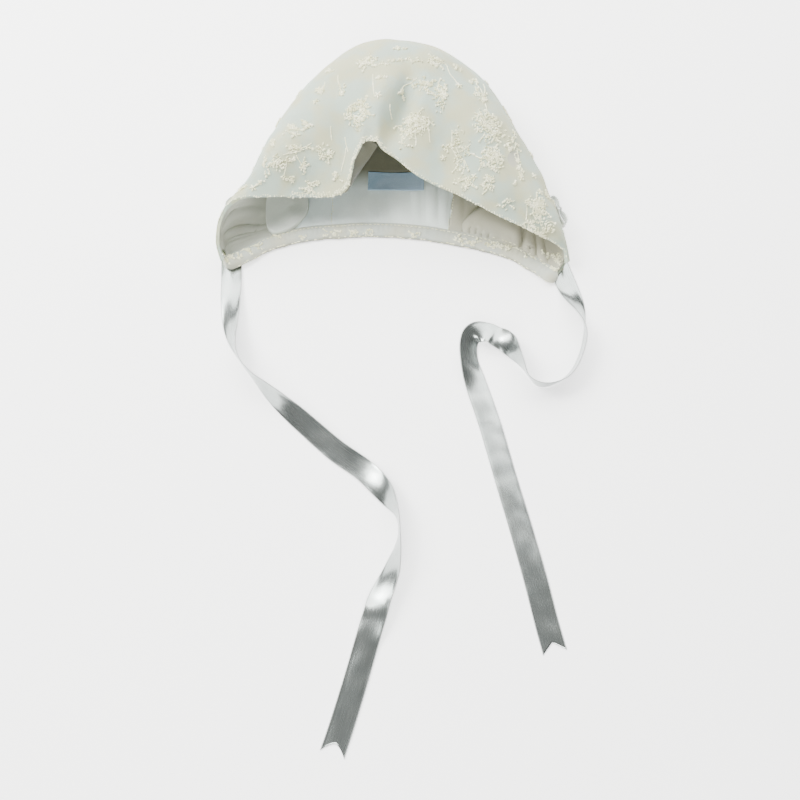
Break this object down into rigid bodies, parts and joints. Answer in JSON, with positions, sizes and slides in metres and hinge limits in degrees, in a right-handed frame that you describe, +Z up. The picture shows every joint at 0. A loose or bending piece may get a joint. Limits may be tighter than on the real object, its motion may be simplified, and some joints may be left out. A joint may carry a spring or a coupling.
{
  "type": "baby hat",
  "caption": "Soft baby bonnet lying open on a table: embroidered crown, lining, gathered nape band, blank inner label, side bows and long satin ties.",
  "frame": {"origin": "on the table under the middle of the bonnet, without the ties", "axes": "+Z up from the table, -Y out of the open front towards the ties, +X to the right seen from the front"},
  "size_m": [0.262, 0.4994, 0.0671],
  "materials": {
    "crown_cotton": "matt cotton with raised embroidery",
    "lining_cotton": "plain matt cotton",
    "band_cotton": "embroidered cotton binding",
    "satin": "double-faced satin ribbon",
    "label_cloth": "woven tape, blank"
  },
  "bodies": {
    "root": {"crown": "crown_cotton", "lining": "lining_cotton", "nape_band": "band_cotton", "tie_left": "satin", "tie_right": "satin", "label": "label_cloth", "bow_left": "satin", "bow_right": "satin"}
  },
  "joints": []
}
